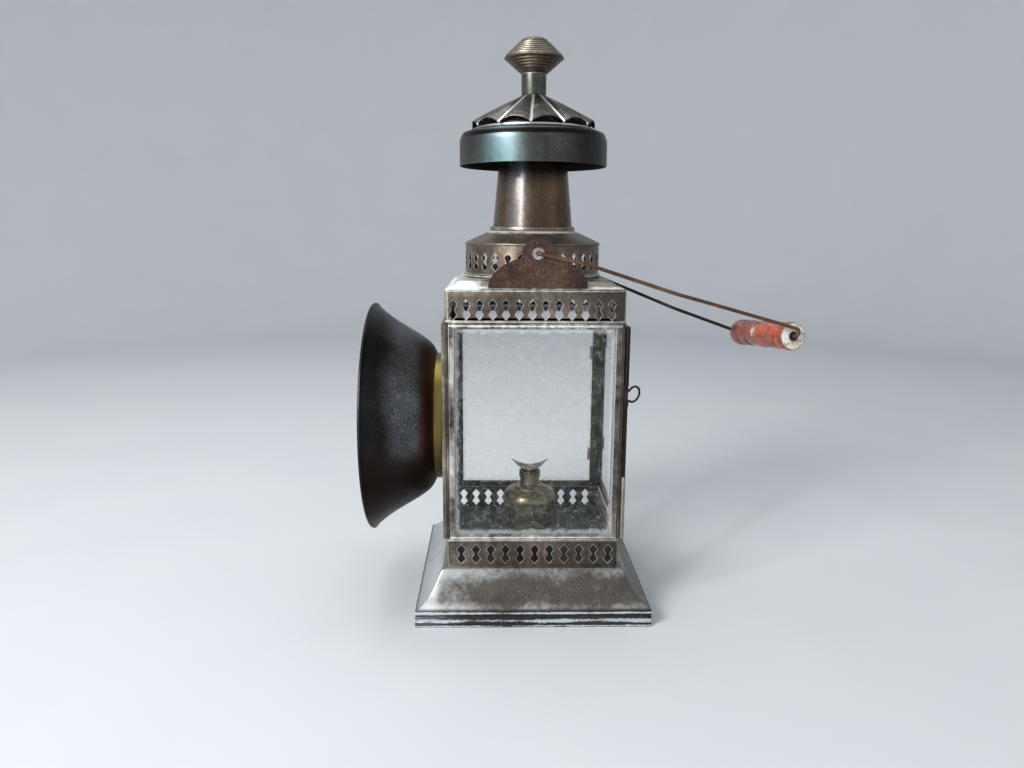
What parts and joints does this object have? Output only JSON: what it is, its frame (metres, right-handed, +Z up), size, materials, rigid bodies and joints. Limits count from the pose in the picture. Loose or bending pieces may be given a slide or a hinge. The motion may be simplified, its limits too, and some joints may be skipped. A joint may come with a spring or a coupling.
{
  "type": "carbide_lantern",
  "caption": "Square brass carbide lantern with pierced galleries, glazed door, side bell, hooded chimney, crescent burner and a wire bail with a turned wooden grip",
  "frame": {"origin": "middle of the underside of the base, on the lantern's own axis", "axes": "+Z up, -Y out of the front window, -X out of the bell, +X out of the door"},
  "size_m": [0.4059, 0.2222, 0.5264],
  "materials": {
    "bronze": "aged satin with pale residue",
    "plinth": "aged satin with a whitish haze",
    "tin": "sooted",
    "hood": "blued by heat, satin",
    "cap": "weathered, white in the valleys",
    "stem": "greenish, satin",
    "knob": "turned, worn",
    "collar": "olive, satin",
    "bell": "blackened",
    "ear": "brown rust",
    "wire": "brown iron wire",
    "steel": "dull plating",
    "burner": "dull",
    "tarnish": "tarnished",
    "rubber": "matte",
    "wood": "red stain, worn, pale end grain",
    "glass": "clear under dust"
  },
  "bodies": {
    "lantern": {"lower_gallery": "bronze", "upper_gallery": "bronze", "corner_post_front_left": "bronze", "corner_post_front_right": "bronze", "corner_post_back_left": "bronze", "corner_post_back_right": "bronze", "front_window_frame": "bronze", "back_window_frame": "bronze", "left_panel": "bronze", "roof_plate": "bronze", "drum_gallery": "bronze", "drum_shoulder": "bronze", "chimney_foot_ring": "bronze", "chimney_tube": "bronze", "base_plinth": "plinth", "base_plate": "tin", "floor_pan": "tin", "hood_stay_1": "tin", "hood_stay_2": "tin", "hood_stay_3": "tin", "hood": "hood", "fluted_cap": "cap", "finial_stem": "stem", "finial_knob": "knob", "bell_collar": "collar", "reflector_bell": "bell", "bail_ear_front": "ear", "bail_ear_back": "ear", "neck_glass_ring": "steel", "eye_washer_front": "steel", "eye_washer_back": "steel", "finial_rod": "steel", "finial_nut": "steel", "lower_hinge_body_leaf": "steel", "lower_hinge_pin": "steel", "upper_hinge_body_leaf": "steel", "upper_hinge_pin": "steel", "tank_lid": "burner", "gas_pipe": "burner", "gas_column": "burner", "burner_crescent": "burner", "generator_seat": "tarnish", "carbide_canister": "tarnish", "water_tank": "tarnish", "canister_gasket": "rubber", "front_glass": "glass", "back_glass": "glass", "neck_glass": "glass"},
    "door": {"door_frame": "bronze", "door_glass": "glass", "lower_hinge_door_leaf": "steel", "upper_hinge_door_leaf": "steel", "latch_tube_lower": "steel", "latch_tube_upper": "steel"},
    "bolt": {"latch_bolt": "steel"},
    "bail": {"bail_wire": "wire"},
    "grip": {"bail_grip": "wood"},
    "valve": {"water_valve": "steel"}
  },
  "joints": [
    {"name": "bail_swing", "type": "hinge", "parent": "lantern", "child": "bail", "pos_m": [0.002, 0, 0.3341], "axis": [0, -1, 0], "range_deg": [0, 216]},
    {"name": "grip_spin", "type": "hinge", "parent": "bail", "child": "grip", "pos_m": [0.23108, 0, 0.25453], "axis": [0.1626, -0.9826, 0.0891], "continuous": true},
    {"name": "door_swing", "type": "hinge", "parent": "lantern", "child": "door", "pos_m": [0.0819, 0.0828, 0.1727], "axis": [0, 0, 1], "range_deg": [0, 54]},
    {"name": "latch_bolt_slide", "type": "slide", "parent": "door", "child": "bolt", "axis": [0, 0, -1], "range_m": [0, 0.031]},
    {"name": "water_valve_turn", "type": "hinge", "parent": "lantern", "child": "valve", "pos_m": [0, 0.017, 0.085], "axis": [0, 0, 1], "range_deg": [0, 270]}
  ]
}
